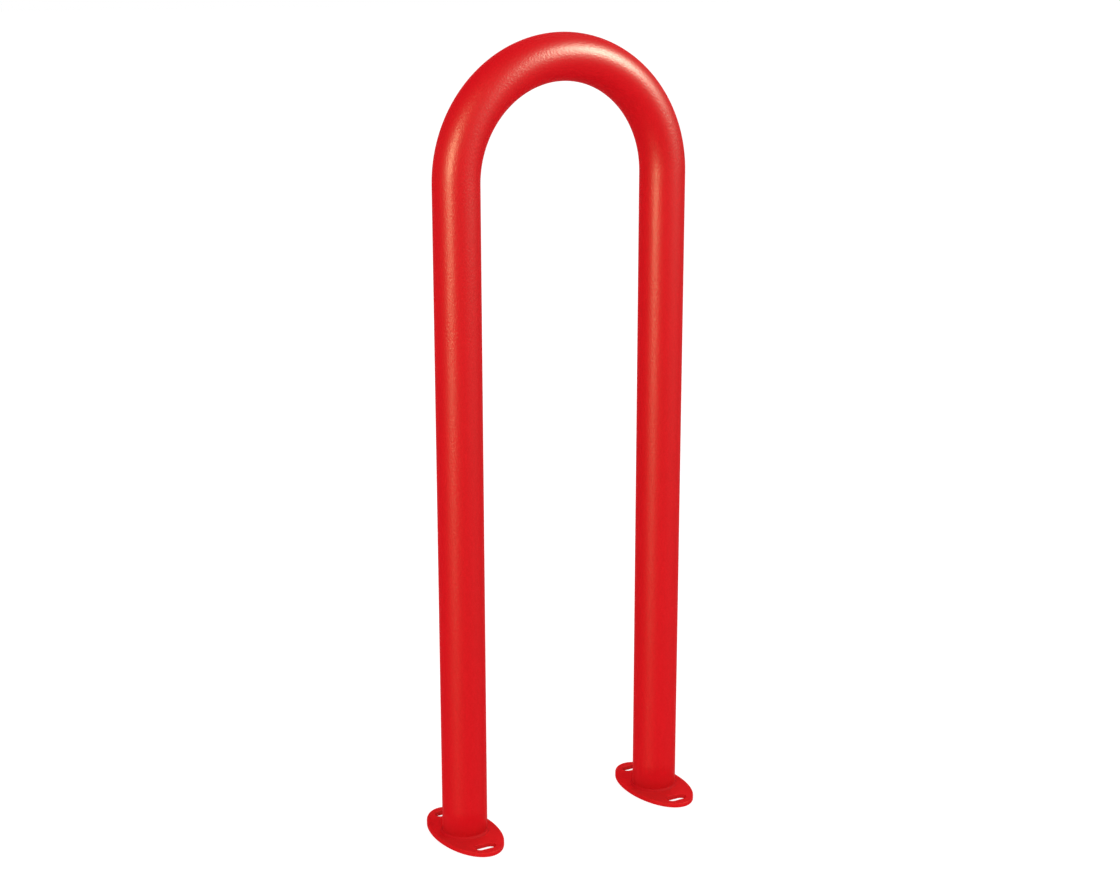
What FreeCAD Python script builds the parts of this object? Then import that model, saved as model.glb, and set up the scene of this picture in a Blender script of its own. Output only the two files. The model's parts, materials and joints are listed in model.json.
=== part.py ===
"""Hoop bike rack: one bent steel pipe, welded all round onto two oval foot plates that are anchored down.

Frame, in millimetres: the origin is on the ground midway between the legs and +Z is up. X runs from the
left leg to the right leg, in the plane of the hoop. Y runs along the foot plates, across that plane.
"""

import FreeCAD, Part
import math
import os

import Sketcher
from FreeCAD import Vector

# Driving dimensions in millimetres: name, value and meaning. All other sizes are worked out from these.
DRIVING_DIMENSIONS = [
    ("pipe_od", 48.3, "outside diameter of the pipe, 1-1/2 inch nominal size"),
    ("pipe_wall", 3.7, "wall of the pipe, schedule 40"),
    ("bend_radius", 120.9, "radius of the half-circle bend at the pipe's centreline"),
    ("overall_height", 843.0, "from the ground to the top of the hoop"),
    ("weld_leg", 2.5, "height and width of the fillet weld between pipe and plate"),
    ("weld_crown", 0.15, "how far the weld's face bulges beyond a straight line between its toes"),
    ("plate_thickness", 5.0, "thickness of a foot plate"),
    ("side_land", 7.25, "plate between the weld and the middle of the plate's long side"),
    ("end_land", 9.45, "plate between an anchor slot and the end of the plate"),
    ("wrench_room", 14.15, "plate between the weld and an anchor slot, for a washer and a socket"),
    ("slot_width", 12.7, "width of an anchor slot, half an inch, which passes a 12 mm anchor"),
    ("slot_travel", 12.0, "how far an anchor may stand off along its slot, end to end"),
    ("vent_bore", 12.0, "hole under the pipe, which vents it in the oven and drains it outdoors"),
    ("edge_round", 0.6, "rounding of the plate's rim, from grinding before it is coated"),
]

# Sizes that several pieces share, as expressions on the sheet.
PIPE_RADIUS = "(Sizes.pipe_od / 2)"
BORE_RADIUS = f"({PIPE_RADIUS} - Sizes.pipe_wall)"
BEND_HEIGHT = f"(Sizes.overall_height - {PIPE_RADIUS} - Sizes.bend_radius)"
WELD_TOE_RADIUS = f"({PIPE_RADIUS} + Sizes.weld_leg)"
SLOT_OFFSET = f"({WELD_TOE_RADIUS} + Sizes.wrench_room + Sizes.slot_width / 2)"
PLATE_HALF_LENGTH = f"({SLOT_OFFSET} + Sizes.slot_width / 2 + Sizes.end_land)"
PLATE_HALF_WIDTH = f"({WELD_TOE_RADIUS} + Sizes.side_land)"

# The weld's face is an arc between its toes, whose radius follows from its chord and its bulge.
WELD_FACE_RADIUS = "((Sizes.weld_leg ^ 2 / 2 + Sizes.weld_crown ^ 2) / (2 * Sizes.weld_crown))"

# The two legs: where each one's foot stands.
FEET = {
    "left": "-Sizes.bend_radius",
    "right": "Sizes.bend_radius",
}

UP = Vector(0, 0, 1)
FULL_TURN = 360

# How a sketch numbers its own axes, and the point where they cross.
HORIZONTAL_AXIS_INDEX = -1
VERTICAL_AXIS_INDEX = -2
SKETCH_ORIGIN = (HORIZONTAL_AXIS_INDEX, 1)


def add_sizes(doc):
    """The spreadsheet of driving dimensions, one row each."""
    sheet = doc.addObject("Spreadsheet::Sheet", "Sizes")
    for row, (alias, value, meaning) in enumerate(DRIVING_DIMENSIONS, start=1):
        sheet.set(f"A{row}", alias)
        sheet.set(f"B{row}", str(value))
        sheet.set(f"C{row}", meaning)
        sheet.setAlias(f"B{row}", alias)
    doc.recompute()
    return sheet


def add_body(doc, name):
    """An empty body, which becomes one piece of the rack."""
    body = doc.addObject("PartDesign::Body", name)
    body.Label = name
    return body


def add_sketch(body, name, plane):
    """An empty sketch on one of the body's own base planes."""
    sketch = body.newObject("Sketcher::SketchObject", name)
    base_plane = next(item for item in body.Origin.OriginFeatures if item.Role == plane)
    sketch.AttachmentSupport = [(base_plane, "")]
    sketch.MapMode = "FlatFace"
    return sketch


def value_of(item, expression):
    """The present value of an expression on the sheet, as a plain number."""
    return float(item.evalExpression(expression))


def add_size(sketch, name, expression, kind, *elements):
    """A dimension in a sketch, with a name of its own, whose value follows an expression on the sheet."""
    index = sketch.addConstraint(Sketcher.Constraint(kind, *elements, value_of(sketch, expression)))
    sketch.renameConstraint(index, name)
    sketch.setExpression(f"Constraints.{name}", expression)


def relate(sketch, kind, *elements):
    """A relation in a sketch that has no value, such as tangent or coincident."""
    sketch.addConstraint(Sketcher.Constraint(kind, *elements))


def start(curve):
    """The first point of a line or an arc, as a constraint names it."""
    return curve, 1


def end(curve):
    """The last point of a line or an arc, as a constraint names it."""
    return curve, 2


def centre(curve):
    """The centre of a circle, an arc or an ellipse, as a constraint names it."""
    return curve, 3


def build_hoop_pipe(doc):
    """The hoop: a leg, a half-circle bend and a leg in one length of pipe, standing on the two plates."""
    body = add_body(doc, "hoop_pipe")

    radius = value_of(body, "Sizes.bend_radius")
    bottom = value_of(body, "Sizes.plate_thickness")
    top = value_of(body, BEND_HEIGHT)

    route = add_sketch(body, "pipe_centreline", "XZ_Plane")
    left_leg = route.addGeometry(Part.LineSegment(Vector(-radius, bottom, 0), Vector(-radius, top, 0)))
    arch = Part.Circle(Vector(0, top, 0), UP, radius)
    bend = route.addGeometry(Part.ArcOfCircle(arch, 0, math.pi))
    right_leg = route.addGeometry(Part.LineSegment(Vector(radius, top, 0), Vector(radius, bottom, 0)))
    relate(route, "Tangent", *end(left_leg), *end(bend))
    relate(route, "Tangent", *start(bend), *start(right_leg))
    relate(route, "Vertical", left_leg)
    relate(route, "Vertical", right_leg)
    relate(route, "PointOnObject", *centre(bend), VERTICAL_AXIS_INDEX)
    relate(route, "Horizontal", *start(left_leg), *end(right_leg))
    add_size(route, "bend_radius", "Sizes.bend_radius", "Radius", bend)
    add_size(route, "bend_height", BEND_HEIGHT, "DistanceY", *SKETCH_ORIGIN, *centre(bend))
    add_size(route, "foot_height", "Sizes.plate_thickness", "DistanceY", *SKETCH_ORIGIN, *start(left_leg))

    section = add_sketch(body, "pipe_section", "XY_Plane")
    section.setExpression("AttachmentOffset.Base.z", "Sizes.plate_thickness")
    foot = Vector(-radius, 0, 0)
    outside = section.addGeometry(Part.Circle(foot, UP, value_of(body, PIPE_RADIUS)))
    inside = section.addGeometry(Part.Circle(foot, UP, value_of(body, BORE_RADIUS)))
    relate(section, "PointOnObject", *centre(outside), HORIZONTAL_AXIS_INDEX)
    relate(section, "Coincident", *centre(inside), *centre(outside))
    add_size(section, "leg_offset", "Sizes.bend_radius", "DistanceX", *centre(outside), *SKETCH_ORIGIN)
    add_size(section, "outside_radius", PIPE_RADIUS, "Radius", outside)
    add_size(section, "bore_radius", BORE_RADIUS, "Radius", inside)
    doc.recompute()

    pipe = body.newObject("PartDesign::AdditivePipe", "bent_pipe")
    pipe.Profile = section
    pipe.Spine = (route, ["Edge1", "Edge2", "Edge3"])
    doc.recompute()
    return body


def draw_slot(sketch, name, side):
    """A slot with round ends along the sketch's X axis, on one side of that axis: side is +1 or -1."""
    radius = value_of(sketch, "Sizes.slot_width / 2")
    reach = value_of(sketch, "Sizes.slot_travel / 2")
    offset = side * value_of(sketch, SLOT_OFFSET)
    quarter = math.pi / 2
    right = sketch.addGeometry(
        Part.ArcOfCircle(Part.Circle(Vector(reach, offset, 0), UP, radius), -quarter, quarter)
    )
    left = sketch.addGeometry(
        Part.ArcOfCircle(Part.Circle(Vector(-reach, offset, 0), UP, radius), quarter, 3 * quarter)
    )
    upper = sketch.addGeometry(
        Part.LineSegment(Vector(reach, offset + radius, 0), Vector(-reach, offset + radius, 0))
    )
    lower = sketch.addGeometry(
        Part.LineSegment(Vector(-reach, offset - radius, 0), Vector(reach, offset - radius, 0))
    )
    relate(sketch, "Tangent", *end(right), *start(upper))
    relate(sketch, "Tangent", *end(upper), *start(left))
    relate(sketch, "Tangent", *end(left), *start(lower))
    relate(sketch, "Tangent", *end(lower), *start(right))
    relate(sketch, "Horizontal", upper)
    relate(sketch, "Symmetric", *centre(left), *centre(right), VERTICAL_AXIS_INDEX)
    add_size(sketch, f"{name}_radius", "Sizes.slot_width / 2", "Radius", right)
    add_size(sketch, f"{name}_travel", "Sizes.slot_travel", "DistanceX", *centre(left), *centre(right))
    if side > 0:
        add_size(sketch, f"{name}_offset", SLOT_OFFSET, "DistanceY", *SKETCH_ORIGIN, *centre(right))
    else:
        add_size(sketch, f"{name}_offset", SLOT_OFFSET, "DistanceY", *centre(right), *SKETCH_ORIGIN)


def build_foot_plate(doc, side, foot_x):
    """An oval plate under one leg, cut from flat plate with its two anchor slots and its vent hole."""
    body = add_body(doc, f"{side}_foot_plate")
    body.setExpression("Placement.Base.x", foot_x)

    middle = Vector(0, 0, 0)
    tip = Vector(0, value_of(body, PLATE_HALF_LENGTH), 0)
    flank = Vector(value_of(body, PLATE_HALF_WIDTH), 0, 0)

    profile = add_sketch(body, f"{side}_plate_profile", "XY_Plane")
    oval = profile.addGeometry(Part.Ellipse(tip, flank, middle))
    profile.exposeInternalGeometry(oval)
    long_axis, short_axis = oval + 1, oval + 2
    relate(profile, "Coincident", *centre(oval), *SKETCH_ORIGIN)
    relate(profile, "Vertical", long_axis)
    add_size(profile, "plate_length", f"2 * {PLATE_HALF_LENGTH}", "Distance", long_axis)
    add_size(profile, "plate_width", f"2 * {PLATE_HALF_WIDTH}", "Distance", short_axis)
    draw_slot(profile, "front_slot", -1)
    draw_slot(profile, "back_slot", 1)
    vent = profile.addGeometry(Part.Circle(middle, UP, value_of(body, "Sizes.vent_bore / 2")))
    relate(profile, "Coincident", *centre(vent), *SKETCH_ORIGIN)
    add_size(profile, "vent_bore", "Sizes.vent_bore", "Diameter", vent)
    doc.recompute()

    blank = body.newObject("PartDesign::Pad", f"{side}_plate_blank")
    blank.Profile = profile
    blank.setExpression("Length", "Sizes.plate_thickness")
    doc.recompute()

    # Only the rim is ground, on both faces of the plate, and the slots and the vent hole keep their cut edges.
    # The rim's two edges are the only ones that reach further along the plate than half its length.
    half_length = value_of(body, PLATE_HALF_LENGTH)
    rim_edges = [
        f"Edge{number}"
        for number, edge in enumerate(blank.Shape.Edges, start=1)
        if edge.BoundBox.YLength > half_length
    ]
    rounding = body.newObject("PartDesign::Fillet", f"{side}_plate_rounding")
    rounding.Base = (blank, rim_edges)
    rounding.setExpression("Radius", "Sizes.edge_round")
    doc.recompute()
    return body


def build_weld_bead(doc, side, foot_x):
    """A ring of weld metal in the corner between one leg and the top of its plate."""
    body = add_body(doc, f"{side}_weld_bead")
    body.setExpression("Placement.Base.x", foot_x)
    body.setExpression("Placement.Base.z", "Sizes.plate_thickness")

    # The section has a square root corner, a toe on the plate, a toe on the pipe and a face between them.
    root = Vector(value_of(body, PIPE_RADIUS), 0, 0)
    leg = value_of(body, "Sizes.weld_leg")
    plate_toe = root + Vector(leg, 0, 0)
    pipe_toe = root + Vector(0, leg, 0)
    outward = Vector(1, 1, 0).normalize()
    crest = (plate_toe + pipe_toe) * 0.5 + outward * value_of(body, "Sizes.weld_crown")

    section = add_sketch(body, f"{side}_weld_section", "XZ_Plane")
    plate_side = section.addGeometry(Part.LineSegment(root, plate_toe))
    pipe_side = section.addGeometry(Part.LineSegment(pipe_toe, root))
    face = section.addGeometry(Part.Arc(plate_toe, crest, pipe_toe))
    relate(section, "Coincident", *end(plate_side), *start(face))
    relate(section, "Coincident", *end(face), *start(pipe_side))
    relate(section, "Coincident", *end(pipe_side), *start(plate_side))
    relate(section, "PointOnObject", *start(plate_side), HORIZONTAL_AXIS_INDEX)
    relate(section, "Horizontal", plate_side)
    relate(section, "Vertical", pipe_side)
    add_size(section, "root_radius", PIPE_RADIUS, "DistanceX", *SKETCH_ORIGIN, *start(plate_side))
    add_size(section, "plate_leg", "Sizes.weld_leg", "Distance", plate_side)
    add_size(section, "pipe_leg", "Sizes.weld_leg", "Distance", pipe_side)
    add_size(section, "face_radius", WELD_FACE_RADIUS, "Radius", face)
    doc.recompute()

    bead = body.newObject("PartDesign::Revolution", f"{side}_weld_ring")
    bead.Profile = section
    bead.ReferenceAxis = (section, ["V_Axis"])
    bead.Angle = FULL_TURN
    doc.recompute()
    return body


def check(doc, bodies):
    """Stops unless every object computed and every piece is one valid solid."""
    for item in doc.Objects:
        if "Invalid" in item.State or "Error" in item.State:
            raise RuntimeError(f"{item.Label} did not compute: {item.State}")
        if item.TypeId == "Sketcher::SketchObject" and not item.FullyConstrained:
            raise RuntimeError(f"{item.Label} is not fully constrained")
    for body in bodies:
        if body.Shape.isNull() or not body.Shape.isValid():
            raise RuntimeError(f"{body.Label} has no valid shape")
        if len(body.Shape.Solids) != 1:
            raise RuntimeError(f"{body.Label} is {len(body.Shape.Solids)} solids, not 1")


def main():
    doc = FreeCAD.newDocument("hoop_bike_rack")
    add_sizes(doc)
    bodies = [build_hoop_pipe(doc)]
    for side, foot_x in FEET.items():
        bodies.append(build_foot_plate(doc, side, foot_x))
        bodies.append(build_weld_bead(doc, side, foot_x))
    doc.recompute()
    check(doc, bodies)

    os.makedirs("parts", exist_ok=True)
    for body in bodies:
        body.Shape.exportStep(f"parts/{body.Label}.step")
        box = body.Shape.optimalBoundingBox()
        extent = f"{box.XLength:.2f} x {box.YLength:.2f} x {box.ZLength:.2f} mm"
        print(f"{body.Label}: {extent}, {body.Shape.Volume:.1f} mm3")


main()
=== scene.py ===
# %% [markdown]
# # A hoop bike rack in red powder coat
#
# The real rack is one steel pipe, bent into a half circle at the top and welded onto two oval foot plates.
# The whole weldment is then sprayed with red powder and baked. This lesson dresses its five steel pieces
# for a studio picture: each cell makes one thing, and the cell before it says what that thing is and why it
# is made that way.

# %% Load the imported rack
import bmesh
import bpy
import json
import math
import random
from mathutils import Euler, Matrix, Vector, noise


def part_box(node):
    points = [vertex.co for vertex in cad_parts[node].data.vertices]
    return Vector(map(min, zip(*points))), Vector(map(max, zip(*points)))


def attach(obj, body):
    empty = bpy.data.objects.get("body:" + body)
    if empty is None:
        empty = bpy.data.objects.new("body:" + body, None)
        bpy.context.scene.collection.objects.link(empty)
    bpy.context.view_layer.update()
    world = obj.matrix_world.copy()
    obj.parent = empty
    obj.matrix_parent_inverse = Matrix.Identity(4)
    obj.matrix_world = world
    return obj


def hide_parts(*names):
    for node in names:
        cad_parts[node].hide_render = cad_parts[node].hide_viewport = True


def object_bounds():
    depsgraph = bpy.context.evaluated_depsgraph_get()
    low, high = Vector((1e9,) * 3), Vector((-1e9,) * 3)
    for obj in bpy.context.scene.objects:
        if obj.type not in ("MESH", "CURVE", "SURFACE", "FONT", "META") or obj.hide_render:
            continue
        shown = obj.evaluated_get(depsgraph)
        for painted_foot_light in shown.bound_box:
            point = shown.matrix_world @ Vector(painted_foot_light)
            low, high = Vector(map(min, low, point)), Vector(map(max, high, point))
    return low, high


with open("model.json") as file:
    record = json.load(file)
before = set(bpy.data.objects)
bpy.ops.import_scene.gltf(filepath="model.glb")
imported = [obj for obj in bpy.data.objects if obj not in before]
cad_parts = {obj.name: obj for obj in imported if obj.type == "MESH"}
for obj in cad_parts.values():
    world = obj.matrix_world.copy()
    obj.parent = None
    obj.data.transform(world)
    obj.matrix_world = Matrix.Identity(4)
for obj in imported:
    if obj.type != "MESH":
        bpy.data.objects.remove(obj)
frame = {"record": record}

cad_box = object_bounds()
print("CAD box, m:", [tuple(round(v, 4) for v in painted_foot_light) for painted_foot_light in cad_box])

# %% [markdown]
# ## Real sizes
#
# A rack like this is described by a few numbers: the pipe it is bent from, how far apart its legs stand,
# where its bend starts, and its plates and slots. They could be typed in again here, but two lists of the
# same sizes drift apart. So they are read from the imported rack: its mounting dimensions and the boxes of
# its nodes.

# %% Read the sizes
MM = 0.001

mounts = {mount["name"]: mount for mount in frame["record"]["mounts"]}
grip = mounts["left_leg_grip"]
slots = mounts["anchor_slots"]["dims"]

pipe_radius = grip["dims"]["r_mm"] * MM
bend_height = grip["pos_m"][2] + grip["dims"]["length_mm"] * MM / 2
leg_offset = slots["spacing_x_mm"] * MM / 2
slot_offset = slots["spacing_y_mm"] * MM / 2
slot_radius = slots["hole_r_mm"] * MM
slot_reach = slots["slot_length_mm"] * MM / 2 - slot_radius

plate_low, plate_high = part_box("right_foot_plate")
plate_top = plate_high[2]
plate_half_width = (plate_high[0] - plate_low[0]) / 2
plate_half_length = (plate_high[1] - plate_low[1]) / 2
weld_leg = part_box("right_weld_bead")[1][2] - plate_top

FEET = {"left": -leg_offset, "right": leg_offset}

for name, size in {
    "pipe radius": pipe_radius, "bend height": bend_height, "leg offset": leg_offset,
    "slot offset": slot_offset, "plate half length": plate_half_length,
    "plate half width": plate_half_width, "plate top": plate_top, "weld leg": weld_leg,
}.items():
    print(f"{name}: {size / MM:.2f} mm")

# %% [markdown]
# ## Camera
#
# The rack is seen from the left and from a little above its top, through a moderately long lens. The
# camera's place and lens follow from how the two legs and the two plates shrink with distance. It could be
# aimed with a Track To constraint, but three plain turns are easier to read: it tilts down, swings to the
# right and rolls by a hair.

# %% Place the camera
CAMERA_PLACE = (-0.97681, -1.68765, 0.91830)
CAMERA_SWING = math.radians(-30.127)
CAMERA_TILT = math.radians(15.061)
CAMERA_ROLL = math.radians(0.044)
CAMERA_LENS, CAMERA_SENSOR = 61.362, 36    # both in mm
CAMERA_SHIFT = (-0.00373, 0.02017)

camera = bpy.data.objects.new("camera", bpy.data.cameras.new("camera"))
bpy.context.scene.collection.objects.link(camera)
camera.location = CAMERA_PLACE
aim = Euler((math.pi / 2 - CAMERA_TILT, 0, CAMERA_SWING)).to_matrix()
camera.rotation_euler = (aim @ Matrix.Rotation(CAMERA_ROLL, 3, "Z")).to_euler()
camera.data.sensor_fit = "HORIZONTAL"
camera.data.sensor_width = CAMERA_SENSOR
camera.data.lens = CAMERA_LENS
camera.data.shift_x, camera.data.shift_y = CAMERA_SHIFT
bpy.context.scene.camera = camera

rack_middle = (Vector(cad_box[0]) + Vector(cad_box[1])) / 2
print("distance to the rack, m:", round((Vector(CAMERA_PLACE) - rack_middle).length, 2))

# %% [markdown]
# ## Helpers for node trees
#
# Every material and node group below is a handful of nodes joined by links. Building them by hand takes
# three lines a node, so small helpers do it: one adds a node and sets its values, and one joins an output
# to an input. Two more start an empty material, and tell the rays that the eye follows from the light
# that only falls on things.

# %% Node helpers
def add_node(tree, kind, **settings):
    """A node in a tree, with its properties and the values of its unlinked sockets set."""
    node = tree.nodes.new(kind)
    for key, value in settings.items():
        if hasattr(node, key):
            setattr(node, key, value)
        else:
            node.inputs[key.replace("_", " ")].default_value = value
    return node


def join(tree, source, output, target, socket):
    """A link from one node's output to another node's input, each by its name or its number."""
    tree.links.new(source.outputs[output], target.inputs[socket])


def empty_material(name):
    """A material with nothing in its tree."""
    material = bpy.data.materials.new(name)
    material.use_nodes = True
    material.node_tree.nodes.clear()
    return material


def bright_to_the_eye(tree):
    """A node that gives 1 to rays of the camera, of reflections and through glass, and 0 to all others."""
    path = add_node(tree, "ShaderNodeLightPath")
    seen_or_mirrored = add_node(tree, "ShaderNodeMath", operation="MAXIMUM")
    or_through_glass = add_node(tree, "ShaderNodeMath", operation="MAXIMUM")
    join(tree, path, "Is Camera Ray", seen_or_mirrored, 0)
    join(tree, path, "Is Glossy Ray", seen_or_mirrored, 1)
    join(tree, seen_or_mirrored, "Value", or_through_glass, 0)
    join(tree, path, "Is Transmission Ray", or_through_glass, 1)
    return or_through_glass


# %% [markdown]
# ## White studio
#
# The rack stands in an all-white studio whose floor runs into its wall. A white room could be lit until it
# clips to white, but that light would also wash out the red. So the room is white only to the eye, and to
# reflections: the soft light that it throws onto the rack is set apart, at a plain level, stronger from the
# camera's side and weaker from above, as where big windows stand behind the camera under a dark ceiling.
# Several soft boxes would do the same, with more noise. Such an even room is found well by the rays that
# leave the paint anyway, so it gets no light samples of its own, and they all go to the lamps. The floor
# keeps a real diffuse surface on top of its own white, so the rack still stands on a faint shadow.

# %% Make the world and the floor
ROOM_LIGHT = 1.505
LIGHT_LEAN = (-0.305, -0.528, -1.10)
FLOOR_HALF_SIZE = 30.0
FLOOR_COLOUR = (0.80, 0.80, 0.80, 1)
FLOOR_OWN_WHITE = 0.82
FLOOR_SHADED = (0.32, 0.32, 0.32, 1)

world = bpy.data.worlds.new("white_room")
bpy.context.scene.world = world
world.use_nodes = True
tree = world.node_tree
tree.nodes.clear()
where = add_node(tree, "ShaderNodeTexCoord")
surplus = add_node(tree, "ShaderNodeVectorMath", operation="DOT_PRODUCT")
surplus.inputs[1].default_value = LIGHT_LEAN
level = add_node(tree, "ShaderNodeMath", operation="ADD")
level.inputs[1].default_value = ROOM_LIGHT
soft_light = add_node(tree, "ShaderNodeBackground", Color=(1, 1, 1, 1))
join(tree, where, "Generated", surplus, 0)
join(tree, surplus, "Value", level, 0)
join(tree, level, "Value", soft_light, "Strength")
white_wall = add_node(tree, "ShaderNodeBackground", Color=(1, 1, 1, 1), Strength=1.0)
room = add_node(tree, "ShaderNodeMixShader")
join(tree, bright_to_the_eye(tree), "Value", room, "Fac")
join(tree, soft_light, 0, room, 1)
join(tree, white_wall, 0, room, 2)
join(tree, room, "Shader", add_node(tree, "ShaderNodeOutputWorld"), "Surface")
world.cycles.sampling_method = "NONE"

floor_paint = empty_material("white_floor")
tree = floor_paint.node_tree
bounce = add_node(tree, "ShaderNodeBsdfDiffuse", Color=FLOOR_COLOUR)
shaded = add_node(tree, "ShaderNodeBsdfDiffuse", Color=FLOOR_SHADED)
own_white = add_node(tree, "ShaderNodeEmission", Color=(1, 1, 1, 1), Strength=FLOOR_OWN_WHITE)
to_the_eye = add_node(tree, "ShaderNodeAddShader")
surface = add_node(tree, "ShaderNodeMixShader")
join(tree, shaded, 0, to_the_eye, 0)
join(tree, own_white, 0, to_the_eye, 1)
join(tree, bright_to_the_eye(tree), "Value", surface, "Fac")
join(tree, bounce, 0, surface, 1)
join(tree, to_the_eye, 0, surface, 2)
join(tree, surface, "Shader", add_node(tree, "ShaderNodeOutputMaterial"), "Surface")

floor_mesh = bpy.data.meshes.new("studio_floor")
reach = FLOOR_HALF_SIZE
floor_mesh.from_pydata(
    [(-reach, -reach, 0), (reach, -reach, 0), (reach, reach, 0), (-reach, reach, 0)], [], [(0, 1, 2, 3)]
)
floor_mesh.materials.append(floor_paint)
floor = bpy.data.objects.new("studio_floor", floor_mesh)
bpy.context.scene.collection.objects.link(floor)

bpy.context.scene.view_settings.view_transform = "Standard"
print("room light:", ROOM_LIGHT, " floor colour:", FLOOR_COLOUR[0])

# %% [markdown]
# ## Lamps
#
# Two soft boxes draw the highlights: the one on the right lies along the top of the bend and down the far
# side of each leg, and the one on the left draws the streak beside it. Boxes strong enough to show on dark
# red would bleach the paint if they lit it too, so they shine in the gloss alone, and the room lights the
# paint. A lamp on a cylinder shows where the surface turns halfway between lamp and camera, which is how
# their directions were found. Bigger boxes would draw the same streaks on a smoother coat, but with far
# more noise. The left one is a little warmer than the right one, which takes the pink out of its streak. A
# weaker window, high up behind the hoop, does the opposite: it lights the paint alone, and lays the soft
# shadow of each leg on the plate in front of it.

# %% Hang the lamps
LAMP_TARGET = Vector((0, 0, 0.45))
LAMPS = {
    # azimuth from +X and elevation in degrees; distance, width and height in m; power, colour, what it lights
    "right_gloss_box": (-42.2, 32.5, 3.5, 1.40, 1.40, 2940.0, (0.70, 1, 1.14), "gloss"),
    "left_gloss_box": (-151.2, 12.4, 3.5, 0.70, 1.60, 1130.0, (0.78, 0.93, 0.79), "gloss"),
    "back_window": (45.0, 50.0, 4.0, 1.60, 1.60, 47.0, (1, 1, 1), "paint"),
}

for name, (azimuth, elevation, distance, width, height, power, colour, lights) in LAMPS.items():
    lamp_data = bpy.data.lights.new(name, "AREA")
    lamp_data.shape = "RECTANGLE"
    lamp_data.size, lamp_data.size_y = width, height
    lamp_data.energy, lamp_data.color = power, colour
    lamp = bpy.data.objects.new(name, lamp_data)
    bpy.context.scene.collection.objects.link(lamp)
    turn, rise = math.radians(azimuth), math.radians(elevation)
    away = Vector((math.cos(turn) * math.cos(rise), math.sin(turn) * math.cos(rise), math.sin(rise)))
    lamp.location = LAMP_TARGET + away * distance
    lamp.rotation_euler = (-away).to_track_quat("-Z", "Y").to_euler()
    if lights == "gloss":
        lamp.visible_diffuse = False
        lamp_data.cycles.use_multiple_importance_sampling = False
    else:
        lamp.visible_glossy = False
print("lamps:", ", ".join(LAMPS))

# %% [markdown]
# ## Orange peel
#
# Powder melts and levels in the oven, but never quite flat: it keeps low swells a few millimetres apart,
# which painters call orange peel, with finer grains on them. It breaks every highlight into specks.
# Modelling it would take millions of faces, and it changes no outline, so it is a height that a Bump node
# reads. All materials of the rack need it at their own scale, which makes it a node group: it puts out the
# height, and the same swells as a mask for other uses.

# %% Build the orange peel group
def new_group(name, inputs, outputs):
    """An empty node group with named inputs (kind, value) and outputs (kind), and its two end nodes."""
    group = bpy.data.node_groups.new(name, "ShaderNodeTree")
    for socket, (kind, value) in inputs.items():
        new_input = group.interface.new_socket(socket, in_out="INPUT", socket_type=kind)
        new_input.default_value = value
    for socket, kind in outputs.items():
        group.interface.new_socket(socket, in_out="OUTPUT", socket_type=kind)
    return group, add_node(group, "NodeGroupInput"), add_node(group, "NodeGroupOutput")


orange_peel, given, made = new_group(
    "orange_peel",
    {
        "Vector": ("NodeSocketVector", (0, 0, 0)),
        "Swells per metre": ("NodeSocketFloat", 550.0),
        "Grains per metre": ("NodeSocketFloat", 1500.0),
        "Grain share": ("NodeSocketFloat", 0.35),
    },
    {"Height": "NodeSocketFloat", "Swells": "NodeSocketFloat"},
)
swells = add_node(orange_peel, "ShaderNodeTexNoise", Detail=1.0, Roughness=0.45)
grains = add_node(orange_peel, "ShaderNodeTexNoise", Detail=0.0, Roughness=0.5)
blend = add_node(orange_peel, "ShaderNodeMix", data_type="FLOAT")
for texture, scale in ((swells, "Swells per metre"), (grains, "Grains per metre")):
    join(orange_peel, given, "Vector", texture, "Vector")
    join(orange_peel, given, scale, texture, "Scale")
join(orange_peel, given, "Grain share", blend, 0)
join(orange_peel, swells, 0, blend, 2)
join(orange_peel, grains, 0, blend, 3)
join(orange_peel, blend, 0, made, "Height")
join(orange_peel, swells, 0, made, "Swells")
print("group:", orange_peel.name, [item.name for item in orange_peel.interface.items_tree])

# %% [markdown]
# ## Powder colour
#
# One pigment, but not one flat colour: the coat is a little thicker on the crest of each swell and in broad
# patches where the spray gun passed twice, and thick coat is the deeper red. A third, lighter red is painted
# light at the foot of each leg, where it lifts the shade that falls in the corner between leg and plate.
# The group mixes two reds by the swells and by a broad, slow noise, and the third one by a mask for the foot.

# %% Build the powder colour group
NOISE_LOW, NOISE_HIGH = 0.3, 0.7    # nearly all of a noise texture's values lie between these

powder_colour, given, made = new_group(
    "powder_colour",
    {
        "Vector": ("NodeSocketVector", (0, 0, 0)),
        "Swells": ("NodeSocketFloat", 0.5),
        "Thin coat": ("NodeSocketColor", (0.66, 0.012, 0.014, 1)),
        "Thick coat": ("NodeSocketColor", (0.57, 0.004, 0.006, 1)),
        "Patches per metre": ("NodeSocketFloat", 14.0),
        "Patch share": ("NodeSocketFloat", 0.5),
        # The last two inputs are painted light: a lighter red mixed in at the foot of each leg, to lift the
        # shade that falls there.
        "Painted foot light": ("NodeSocketFloat", 0.0),
        "Painted foot light red": ("NodeSocketColor", (0.70, 0.010, 0.015, 1)),
    },
    {"Color": "NodeSocketColor", "Patches": "NodeSocketFloat"},
)
patches = add_node(powder_colour, "ShaderNodeTexNoise", Detail=2.0, Roughness=0.5)
thickness = add_node(powder_colour, "ShaderNodeMix", data_type="FLOAT")
spread = add_node(powder_colour, "ShaderNodeMapRange", From_Min=NOISE_LOW, From_Max=NOISE_HIGH)
reds = add_node(powder_colour, "ShaderNodeMix", data_type="RGBA")
with_painted_foot_light = add_node(powder_colour, "ShaderNodeMix", data_type="RGBA")
join(powder_colour, given, "Vector", patches, "Vector")
join(powder_colour, given, "Patches per metre", patches, "Scale")
join(powder_colour, given, "Patch share", thickness, 0)
join(powder_colour, given, "Swells", thickness, 2)
join(powder_colour, patches, 0, thickness, 3)
join(powder_colour, thickness, 0, spread, "Value")
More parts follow.
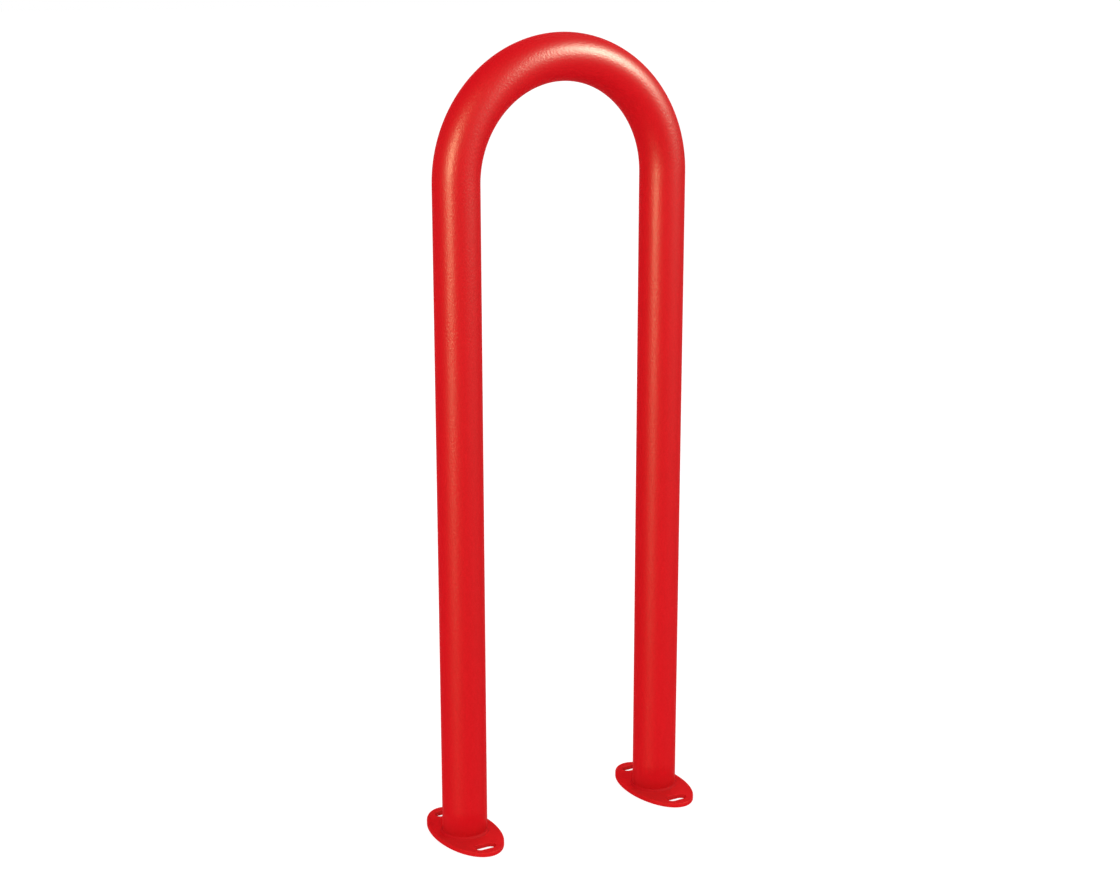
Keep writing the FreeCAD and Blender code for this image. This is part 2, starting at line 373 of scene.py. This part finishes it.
join(powder_colour, spread, 0, reds, 0)
join(powder_colour, given, "Thin coat", reds, 6)
join(powder_colour, given, "Thick coat", reds, 7)
# Painted light: the lighter red at the foot of each leg goes in by its mask.
join(powder_colour, given, "Painted foot light", with_painted_foot_light, 0)
join(powder_colour, reds, 2, with_painted_foot_light, 6)
join(powder_colour, given, "Painted foot light red", with_painted_foot_light, 7)
join(powder_colour, with_painted_foot_light, 2, made, "Color")
join(powder_colour, patches, 0, made, "Patches")
print("group:", powder_colour.name, [item.name for item in powder_colour.interface.items_tree])

# %% [markdown]
# ## Red powder coat
#
# Pipe, plates and welds wear the same powder, but not the same coat: on the flat plates it lies duller, and
# over the rough weld beads it turns dull. Their reds differ by painted light and shade: the plates' reds are
# a little lighter than the pipe's, for the light the flat plates get, and the welds' reds are deeper, as
# painted shade in the corner between leg and plate. So one function places the two groups in a material
# with its own two reds, its own roughness and its own share of shine. The gloss could simply be that of a
# clear varnish, whose mirror grows strong wherever the surface turns away; in an all-white room that puts a
# pale rim round the whole pipe. Powder this deep shows no such rim, so the gloss index is kept close to 1
# and a strong tint brings the highlights back to their level.

# %% Make the coats
GLOSS_TINT = (27.8, 20.6, 13.4)
GLOSS_INDEX = 1.03
# Heights over which the painted light at the foot of each leg fades out.
PAINTED_FOOT_LIGHT_LOW, PAINTED_FOOT_LIGHT_HIGH = 12 * MM, 32 * MM


def powder_coat(name, swells, grains, swell_height, roughness, thin, thick, shine=1.0, painted_foot_light=False):
    """A coat of the red powder: its swells and grains per metre, the swells' height, its roughness range,
    its thin and its thick red, its shine beside the pipe's, and whether a lighter red is painted at the foot
    of the leg, as painted light that lifts the shade there."""
    material = empty_material(name)
    tree = material.node_tree
    where = add_node(tree, "ShaderNodeTexCoord")
    peel = add_node(tree, "ShaderNodeGroup", node_tree=orange_peel)
    peel.inputs["Swells per metre"].default_value = swells
    peel.inputs["Grains per metre"].default_value = grains
    colour = add_node(tree, "ShaderNodeGroup", node_tree=powder_colour)
    colour.inputs["Thin coat"].default_value = (*thin, 1)
    colour.inputs["Thick coat"].default_value = (*thick, 1)
    join(tree, where, "Object", peel, "Vector")
    join(tree, where, "Object", colour, "Vector")
    join(tree, peel, "Swells", colour, "Swells")

    # Painted light: the red turns lighter towards the foot of the leg, to lift the shade in the corner.
    if painted_foot_light:
        height = add_node(tree, "ShaderNodeSeparateXYZ")
        painted_foot_light_mask = add_node(
            tree, "ShaderNodeMapRange", interpolation_type="SMOOTHSTEP",
            From_Min=PAINTED_FOOT_LIGHT_LOW, From_Max=PAINTED_FOOT_LIGHT_HIGH, To_Min=1.0, To_Max=0.0,
        )
        join(tree, where, "Object", height, "Vector")
        join(tree, height, "Z", painted_foot_light_mask, "Value")
        join(tree, painted_foot_light_mask, 0, colour, "Painted foot light")

    gloss = add_node(
        tree, "ShaderNodeMapRange",
        From_Min=NOISE_LOW, From_Max=NOISE_HIGH, To_Min=roughness[0], To_Max=roughness[1],
    )
    join(tree, colour, "Patches", gloss, "Value")
    bump = add_node(tree, "ShaderNodeBump", Strength=1.0, Distance=swell_height)
    join(tree, peel, "Height", bump, "Height")

    coat = add_node(tree, "ShaderNodeBsdfPrincipled")
    coat.inputs["IOR"].default_value = GLOSS_INDEX
    coat.inputs["Specular Tint"].default_value = (*(part * shine for part in GLOSS_TINT), 1)
    join(tree, colour, "Color", coat, "Base Color")
    join(tree, gloss, 0, coat, "Roughness")
    join(tree, bump, "Normal", coat, "Normal")
    join(tree, coat, "BSDF", add_node(tree, "ShaderNodeOutputMaterial"), "Surface")
    return material


# The pipe gets the painted light at the foot of each leg.
pipe_coat = powder_coat(
    "red_powder_on_pipe", 450, 1500, 0.29 * MM, (0.37, 0.395),
    thin=(0.665, 0.0034, 0.0100), thick=(0.609, 0.0018, 0.0070), painted_foot_light=True,
)
# Painted light: the plates' reds are lighter than the pipe's for the light the flat plates get, with a little
# painted sheen in their green and blue.
plate_coat = powder_coat(
    "red_powder_on_plate", 470, 1600, 0.28 * MM, (0.57, 0.61),
    thin=(0.688, 0.0060, 0.0114), thick=(0.635, 0.0045, 0.0085), shine=0.35,
)
# Painted shade: the welds' reds are deeper than the pipe's, for the shade in the corner between leg and
# plate.
weld_coat = powder_coat(
    "red_powder_on_weld", 430, 1400, 0.30 * MM, (0.66, 0.74),
    thin=(0.565, 0.0062, 0.0110), thick=(0.510, 0.0046, 0.0088), shine=0.1,
)
print("coats:", pipe_coat.name, plate_coat.name, weld_coat.name)

# %% [markdown]
# ## Making a piece
#
# Each piece is a mesh with its place in its points, so its object stays at the origin.

# %% Piece helper
def make_piece(name, points, faces, coat, flat_faces=()):
    """A closed mesh object for one node in one coat, smooth but for its flat faces."""
    mesh = bpy.data.meshes.new(name)
    mesh.from_pydata([tuple(point) for point in points], [], faces)
    flat = set(flat_faces)
    for face in mesh.polygons:
        face.use_smooth = face.index not in flat
    mesh.materials.append(coat)
    mesh.validate()
    mesh.update()
    piece = bpy.data.objects.new(name, mesh)
    bpy.context.scene.collection.objects.link(piece)
    return piece


def hand_over(piece, node):
    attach(piece, "root")
    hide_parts(node)
    print(piece.name, "faces:", len(piece.data.polygons), "stands for", node)


def bridge(ring, next_ring):
    """The four-sided faces between two closed rings of point numbers."""
    count = len(ring)
    return [(ring[i], ring[(i + 1) % count], next_ring[(i + 1) % count], next_ring[i]) for i in range(count)]


# %% [markdown]
# ## Hoop pipe
#
# A pipe bender draws the pipe round a die, so its middle line is a straight leg, a half circle and a second
# straight leg, and a mandrel keeps it round through the bend. A bevelled curve would give the same outside,
# but not the bore or the exact radius, so rings of points are swept along that line. Steps are close in the
# bend and long on the legs. The inside skin and the two ends close it, as on the real pipe.

# %% Sweep the hoop pipe
RING_POINTS = 128
BEND_STEPS = 96
LEG_STEPS = 24
PIPE_WALL = 3.7 * MM


def hoop_stations():
    """Centre and outward direction at each step along the pipe's middle line, from left foot to right."""
    rise = bend_height - plate_top
    outward = Vector((-1, 0, 0))
    stations = [
        (Vector((-leg_offset, 0, plate_top + rise * step / LEG_STEPS)), outward)
        for step in range(LEG_STEPS)
    ]
    for step in range(BEND_STEPS + 1):
        turn = math.pi * step / BEND_STEPS
        outward = Vector((-math.cos(turn), 0, math.sin(turn)))
        stations.append((Vector((0, 0, bend_height)) + outward * leg_offset, outward))
    outward = Vector((1, 0, 0))
    stations += [
        (Vector((leg_offset, 0, bend_height - rise * step / LEG_STEPS)), outward)
        for step in range(1, LEG_STEPS + 1)
    ]
    return stations


across = Vector((0, 1, 0))
points, faces, skins = [], [], []
for radius in (pipe_radius, pipe_radius - PIPE_WALL):
    rings = []
    for centre, outward in hoop_stations():
        rings.append(range(len(points), len(points) + RING_POINTS))
        for i in range(RING_POINTS):
            angle = math.tau * i / RING_POINTS
            points.append(centre + (outward * math.cos(angle) + across * math.sin(angle)) * radius)
    skins.append(rings)
outside, bore = skins
for ring, next_ring in zip(outside, outside[1:]):
    faces += bridge(next_ring, ring)
for ring, next_ring in zip(bore, bore[1:]):
    faces += bridge(ring, next_ring)
ends_from = len(faces)
faces += bridge(outside[0], bore[0]) + bridge(bore[-1], outside[-1])

pipe_ends = range(ends_from, len(faces))
hoop_pipe = make_piece("coated_hoop_pipe", points, faces, pipe_coat, flat_faces=pipe_ends)
hand_over(hoop_pipe, "hoop_pipe")

# %% [markdown]
# ## Foot plates
#
# Each foot is an oval cut from 5 mm plate with its slots and its vent hole. Its rim is eased by grinding,
# and the edges of its holes only by the coat that builds up on them. Booleans and a bevel would make it,
# but leave long thin faces that shade badly. Here every outline is a loop of points with its own outward
# direction: the loop is swept round the plate's lower edge, up its wall and round its upper edge, and the
# two flat faces are filled between the loops.

# %% Draw the outlines of a plate
RIM_ROUND = 0.6 * MM
HOLE_ROUND = 0.15 * MM
HOLE_COAT = 0.2 * MM
VENT_RADIUS = 6.0 * MM
OVAL_POINTS = 240
SLOT_END_STEPS = 28
VENT_HALF_STEPS = 28


def oval_outline():
    """The plate's rim, anticlockwise: points and outward directions."""
    outline = []
    for i in range(OVAL_POINTS):
        angle = math.tau * i / OVAL_POINTS
        x, y = plate_half_width * math.cos(angle), plate_half_length * math.sin(angle)
        outward = Vector((x / plate_half_width**2, y / plate_half_length**2)).normalized()
        outline.append((Vector((x, y)), outward))
    return outline


def round_hole_outline(middle, radius, reach, count):
    """A round hole stretched along X by its reach, clockwise: points and directions into the hole.

    Each half circle has count steps. A hole that isn't stretched needs no second copy of the points
    where its halves meet.
    """
    outline = []
    for end_x, first_angle in ((reach, math.pi / 2), (-reach, -math.pi / 2)):
        for i in range(count + 1):
            angle = first_angle - math.pi * i / count
            direction = Vector((math.cos(angle), math.sin(angle)))
            outline.append((Vector((middle[0] + end_x, middle[1])) + direction * radius, -direction))
    if reach == 0:
        outline = outline[:count] + outline[count + 1:-1]
    return outline


def slot_outline(y):
    """An anchor slot, narrowed by its coat, with its middle at the given Y."""
    return round_hole_outline((0, y), slot_radius - HOLE_COAT, slot_reach, SLOT_END_STEPS)


outlines = [
    (oval_outline(), RIM_ROUND),
    (slot_outline(-slot_offset), HOLE_ROUND),
    (slot_outline(slot_offset), HOLE_ROUND),
    (round_hole_outline((0, 0), VENT_RADIUS - HOLE_COAT, 0, VENT_HALF_STEPS), HOLE_ROUND),
]
print("outline points:", [len(outline) for outline, edge_round in outlines])

# %% Sweep and fill the plates
ROUND_STEPS = 6
SUPPORT = 0.08 * MM


def wall_profile(edge_round):
    """Inset and height pairs from the edge of the bottom face, round and up to the edge of the top face."""
    quarter = [math.pi / 2 * step / ROUND_STEPS for step in range(ROUND_STEPS + 1)]
    lower = [(edge_round * (1 - math.sin(a)), edge_round * (1 - math.cos(a))) for a in quarter]
    upper = [(inset, plate_top - height) for inset, height in reversed(lower)]
    # Two rings close to the roundings keep the wall between them flat in the shading.
    support = [(0, edge_round + SUPPORT), (0, plate_top - edge_round - SUPPORT)]
    return lower + support + upper


def fill_level_face(points, loops, upward):
    """Triangles of the flat face between an outer loop and the loops of its holes."""
    flat = bmesh.new()
    vertex_of = {number: flat.verts.new(points[number]) for loop in loops for number in loop}
    number_of = {vertex: number for number, vertex in vertex_of.items()}
    for loop in loops:
        for i, number in enumerate(loop):
            flat.edges.new((vertex_of[number], vertex_of[loop[(i + 1) % len(loop)]]))
    bmesh.ops.triangle_fill(flat, use_beauty=True, use_dissolve=False, edges=flat.edges[:])
    faces = []
    for face in flat.faces:
        corners = [number_of[vertex] for vertex in face.verts]
        if (face.normal.z > 0) != upward:
            corners.reverse()
        faces.append(tuple(corners))
    flat.free()
    return faces


def build_foot_plate(side):
    """One plate: its walls swept from the outlines, and its two faces filled between them."""
    points, faces, bottom_loops, top_loops = [], [], [], []
    for outline, edge_round in outlines:
        rings = []
        for inset, height in wall_profile(edge_round):
            rings.append(range(len(points), len(points) + len(outline)))
            for place, outward in outline:
                x, y = place - outward * inset
                points.append(Vector((FEET[side] + x, y, height)))
        for ring, next_ring in zip(rings, rings[1:]):
            faces += bridge(ring, next_ring)
        bottom_loops.append(rings[0])
        top_loops.append(rings[-1])
    walls = len(faces)
    faces += fill_level_face(points, bottom_loops, upward=False)
    faces += fill_level_face(points, top_loops, upward=True)
    return make_piece(
        f"coated_{side}_foot_plate", points, faces, plate_coat, flat_faces=range(walls, len(faces))
    )


for side in FEET:
    hand_over(build_foot_plate(side), f"{side}_foot_plate")

# %% [markdown]
# ## Weld beads
#
# The welder runs one bead round each leg. Every pulse of the arc leaves a crescent, so the bead is a ring
# of low overlapping scales, with a lump where it stops on its own start. The coat fills the scales until
# only their crests show, and it rounds the bead into pipe and plate. A bevelled circle would be smooth, so
# the section is swept point by point: its face is slightly hollow and runs out level with both parts, its
# width wanders slowly, and each scale lifts the face a little.

# %% Sweep the weld beads
BEAD_TURN_POINTS = 720
BEAD_FACE_STEPS = 14
BEAD_SINK = 0.12 * MM
HOLLOW_POWER = 1.3
SCALE_PITCH = math.tau / 60
SCALE_LENGTHS = (0.82, 1.18)    # as shares of the pitch
SCALE_LIFT = 0.04 * MM
SCALE_LIFTS = (0.7, 1.25)       # as shares of the lift
SCALE_RISE = 0.3                # the share of a scale's length on which it rises
SCALE_LEAN = 0.35
WIDTH_WANDER, WANDER_RATE, WANDER_REACH = 0.15 * MM, 1.6, 9
TIE_IN_LIFT, TIE_IN_ANGLE, TIE_IN_SPREAD = 0.15 * MM, math.pi, 0.16
FACE_SLOPE = math.sqrt(0.5)     # how far a push square to the 45 degree face goes outward, and how far up
FIRST_SEED = 11


def smooth_step(value):
    """0 below 0, 1 above 1 and an even S between."""
    value = min(max(value, 0.0), 1.0)
    return value * value * (3 - 2 * value)


def build_weld_bead(side, seed):
    """One ring of scales between a leg and its plate."""
    random.seed(seed)
    # The angles at which the scales start. None is quite as long as the next.
    starts = [0.0]
    while starts[-1] < math.tau:
        starts.append(starts[-1] + SCALE_PITCH * random.uniform(*SCALE_LENGTHS))
    starts = [value * math.tau / starts[-1] for value in starts]
    lifts = [random.uniform(*SCALE_LIFTS) for _ in starts]
    first_angle = random.uniform(0, math.tau)
    drift = Vector([random.uniform(0, WANDER_REACH) for _ in range(3)])

    def scale_height(along):
        """Height of the scales at an angle along the bead: a quick rise and a slow fall on each."""
        along %= math.tau
        number = max(i for i, value in enumerate(starts[:-1]) if value <= along)
        share = (along - starts[number]) / (starts[number + 1] - starts[number])
        rise = smooth_step(share / SCALE_RISE)
        fall = 1 - smooth_step((share - SCALE_RISE) / (1 - SCALE_RISE))
        return lifts[number] * (rise if share < SCALE_RISE else fall)

    points, faces, rings = [], [], []
    for i in range(BEAD_TURN_POINTS):
        angle = math.tau * i / BEAD_TURN_POINTS
        direction = Vector((math.cos(angle), math.sin(angle), 0))
        leg = weld_leg + WIDTH_WANDER * noise.noise(drift + direction * WANDER_RATE)
        tie_in = math.exp(-(((angle - TIE_IN_ANGLE) / TIE_IN_SPREAD) ** 2))
        ring = []
        for step in range(BEAD_FACE_STEPS + 1):
            share = step / BEAD_FACE_STEPS
            bulge = math.sin(math.pi * share)
            # The scales curve back towards both toes, so they look like crescents.
            scale_at = angle - first_angle - SCALE_LEAN * SCALE_PITCH * (2 * share - 1) ** 2
            lift = (TIE_IN_LIFT * tie_in + SCALE_LIFT * scale_height(scale_at)) * bulge * FACE_SLOPE
            ring.append((leg * (1 - share) ** HOLLOW_POWER + lift, leg * share**HOLLOW_POWER + lift))
        # Both toes and the root reach a little way into the plate and the pipe, so no gap shows.
        ring[0] = (ring[0][0], -BEAD_SINK)
        ring[-1] = (-BEAD_SINK, ring[-1][1])
        ring.append((-BEAD_SINK, -BEAD_SINK))
        rings.append(range(len(points), len(points) + len(ring)))
        for outward, upward in ring:
            flat = direction * (pipe_radius + outward)
            points.append(Vector((FEET[side] + flat.x, flat.y, plate_top + upward)))
    for i, ring in enumerate(rings):
        faces += bridge(rings[(i + 1) % len(rings)], ring)
    return make_piece(f"coated_{side}_weld_bead", points, faces, weld_coat)


for seed, side in enumerate(FEET, start=FIRST_SEED):
    hand_over(build_weld_bead(side, seed), f"{side}_weld_bead")
